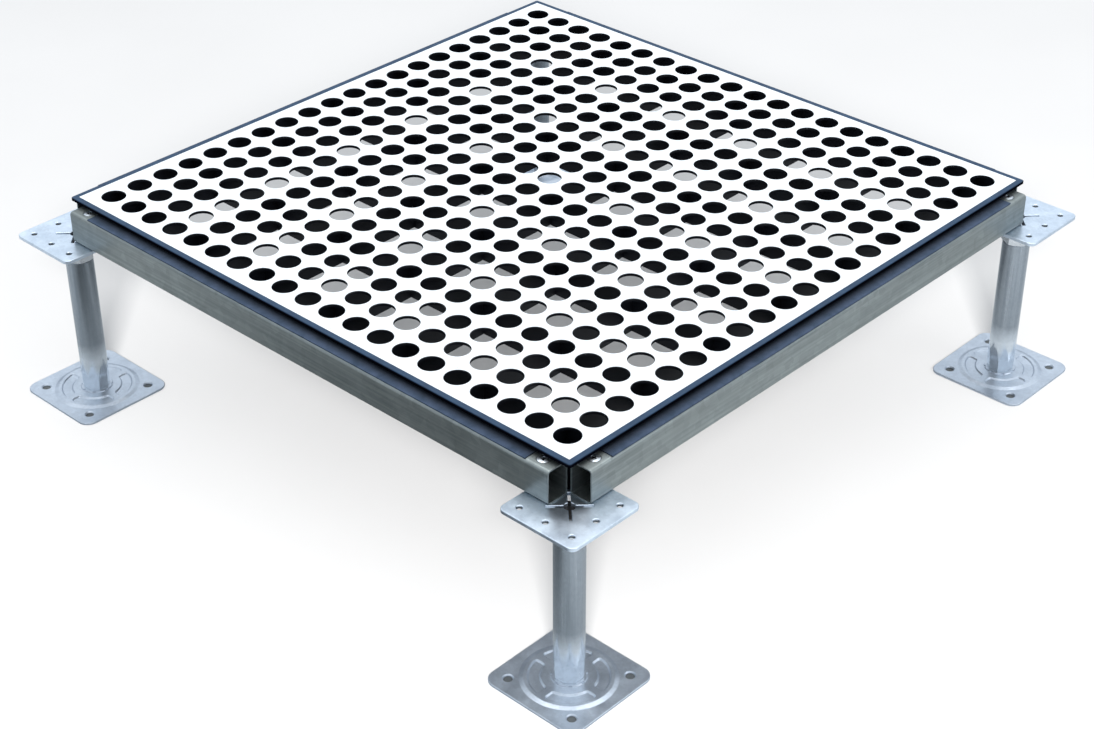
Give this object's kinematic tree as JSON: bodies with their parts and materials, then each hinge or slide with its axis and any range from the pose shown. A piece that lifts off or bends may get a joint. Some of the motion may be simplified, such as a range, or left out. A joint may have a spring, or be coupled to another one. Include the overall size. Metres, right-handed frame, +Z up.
{
  "type": "perforated raised floor tile",
  "caption": "Square perforated raised floor tile with an egg-crate pan, on a tubular stringer frame and height-adjustable pedestals.",
  "frame": {"origin": "on the floor, under the centre of the tile", "axes": "+Z up; X and Y along the tile's sides: +X is east and +Y is north"},
  "size_m": [0.695, 0.695, 0.2015],
  "materials": {
    "laminate": "white anti-static laminate with small blue-grey flecks, black where it is cut",
    "edge_trim": "dark blue-black conductive edge trim, satin",
    "pan_coating": "blue-black epoxy powder coat",
    "stringer_steel": "galvanised steel tube with rolling lines",
    "gasket_foam": "dark blue-grey foam strip",
    "screw_zinc": "bright zinc plate",
    "pedestal_zinc": "bluish zinc plate",
    "fastener_steel": "zinc-plated nut and stud"
  },
  "bodies": {
    "floor_tile": {"top_covering": "laminate", "edge_trim_south": "edge_trim", "edge_trim_east": "edge_trim", "edge_trim_north": "edge_trim", "edge_trim_west": "edge_trim", "top_plate": "pan_coating", "side_rail_south": "pan_coating", "side_rail_east": "pan_coating", "side_rail_north": "pan_coating", "side_rail_west": "pan_coating", "rib_east_west_1": "pan_coating", "rib_east_west_2": "pan_coating", "rib_east_west_3": "pan_coating", "rib_east_west_4": "pan_coating", "rib_east_west_5": "pan_coating", "rib_east_west_6": "pan_coating", "rib_east_west_7": "pan_coating", "rib_north_south_1": "pan_coating", "rib_north_south_2": "pan_coating", "rib_north_south_3": "pan_coating", "rib_north_south_4": "pan_coating", "rib_north_south_5": "pan_coating", "rib_north_south_6": "pan_coating", "rib_north_south_7": "pan_coating", "stringer_south": "stringer_steel", "stringer_east": "stringer_steel", "stringer_north": "stringer_steel", "stringer_west": "stringer_steel", "gasket_south": "gasket_foam", "gasket_east": "gasket_foam", "gasket_north": "gasket_foam", "gasket_west": "gasket_foam", "stringer_screws_sw": "screw_zinc", "stringer_screws_se": "screw_zinc", "stringer_screws_ne": "screw_zinc", "stringer_screws_nw": "screw_zinc", "head_plate_sw": "pedestal_zinc", "head_plate_se": "pedestal_zinc", "head_plate_ne": "pedestal_zinc", "head_plate_nw": "pedestal_zinc", "threaded_stud_sw": "fastener_steel", "threaded_stud_se": "fastener_steel", "threaded_stud_ne": "fastener_steel", "threaded_stud_nw": "fastener_steel"},
    "leg_sw": {"pedestal_tube_sw": "pedestal_zinc", "base_plate_sw": "pedestal_zinc"},
    "nut_sw": {"levelling_nut_sw": "fastener_steel"},
    "leg_se": {"pedestal_tube_se": "pedestal_zinc", "base_plate_se": "pedestal_zinc"},
    "nut_se": {"levelling_nut_se": "fastener_steel"},
    "leg_ne": {"pedestal_tube_ne": "pedestal_zinc", "base_plate_ne": "pedestal_zinc"},
    "nut_ne": {"levelling_nut_ne": "fastener_steel"},
    "leg_nw": {"pedestal_tube_nw": "pedestal_zinc", "base_plate_nw": "pedestal_zinc"},
    "nut_nw": {"levelling_nut_nw": "fastener_steel"}
  },
  "joints": [
    {"name": "height_sw", "type": "slide", "parent": "floor_tile", "child": "leg_sw", "axis": [0, 0, -1], "range_m": [-0.006, 0.04]},
    {"name": "height_se", "type": "slide", "parent": "floor_tile", "child": "leg_se", "axis": [0, 0, -1], "range_m": [-0.006, 0.04]},
    {"name": "height_ne", "type": "slide", "parent": "floor_tile", "child": "leg_ne", "axis": [0, 0, -1], "range_m": [-0.006, 0.04]},
    {"name": "height_nw", "type": "slide", "parent": "floor_tile", "child": "leg_nw", "axis": [0, 0, -1], "range_m": [-0.006, 0.04]},
    {"name": "nut_turn_sw", "type": "hinge", "parent": "leg_sw", "child": "nut_sw", "pos_m": [-0.3, -0.3, 0.1465], "axis": [0, 0, -1], "range_deg": [-1090, 7210]},
    {"name": "nut_turn_se", "type": "hinge", "parent": "leg_se", "child": "nut_se", "pos_m": [0.3, -0.3, 0.1465], "axis": [0, 0, -1], "range_deg": [-1090, 7210]},
    {"name": "nut_turn_ne", "type": "hinge", "parent": "leg_ne", "child": "nut_ne", "pos_m": [0.3, 0.3, 0.1465], "axis": [0, 0, -1], "range_deg": [-1090, 7210]},
    {"name": "nut_turn_nw", "type": "hinge", "parent": "leg_nw", "child": "nut_nw", "pos_m": [-0.3, 0.3, 0.1465], "axis": [0, 0, -1], "range_deg": [-1090, 7210]}
  ],
  "couplings": [
    {"joint": "nut_turn_sw", "follows": "height_sw", "rad_per_m": 3141.6},
    {"joint": "nut_turn_se", "follows": "height_se", "rad_per_m": 3141.6},
    {"joint": "nut_turn_ne", "follows": "height_ne", "rad_per_m": 3141.6},
    {"joint": "nut_turn_nw", "follows": "height_nw", "rad_per_m": 3141.6}
  ]
}
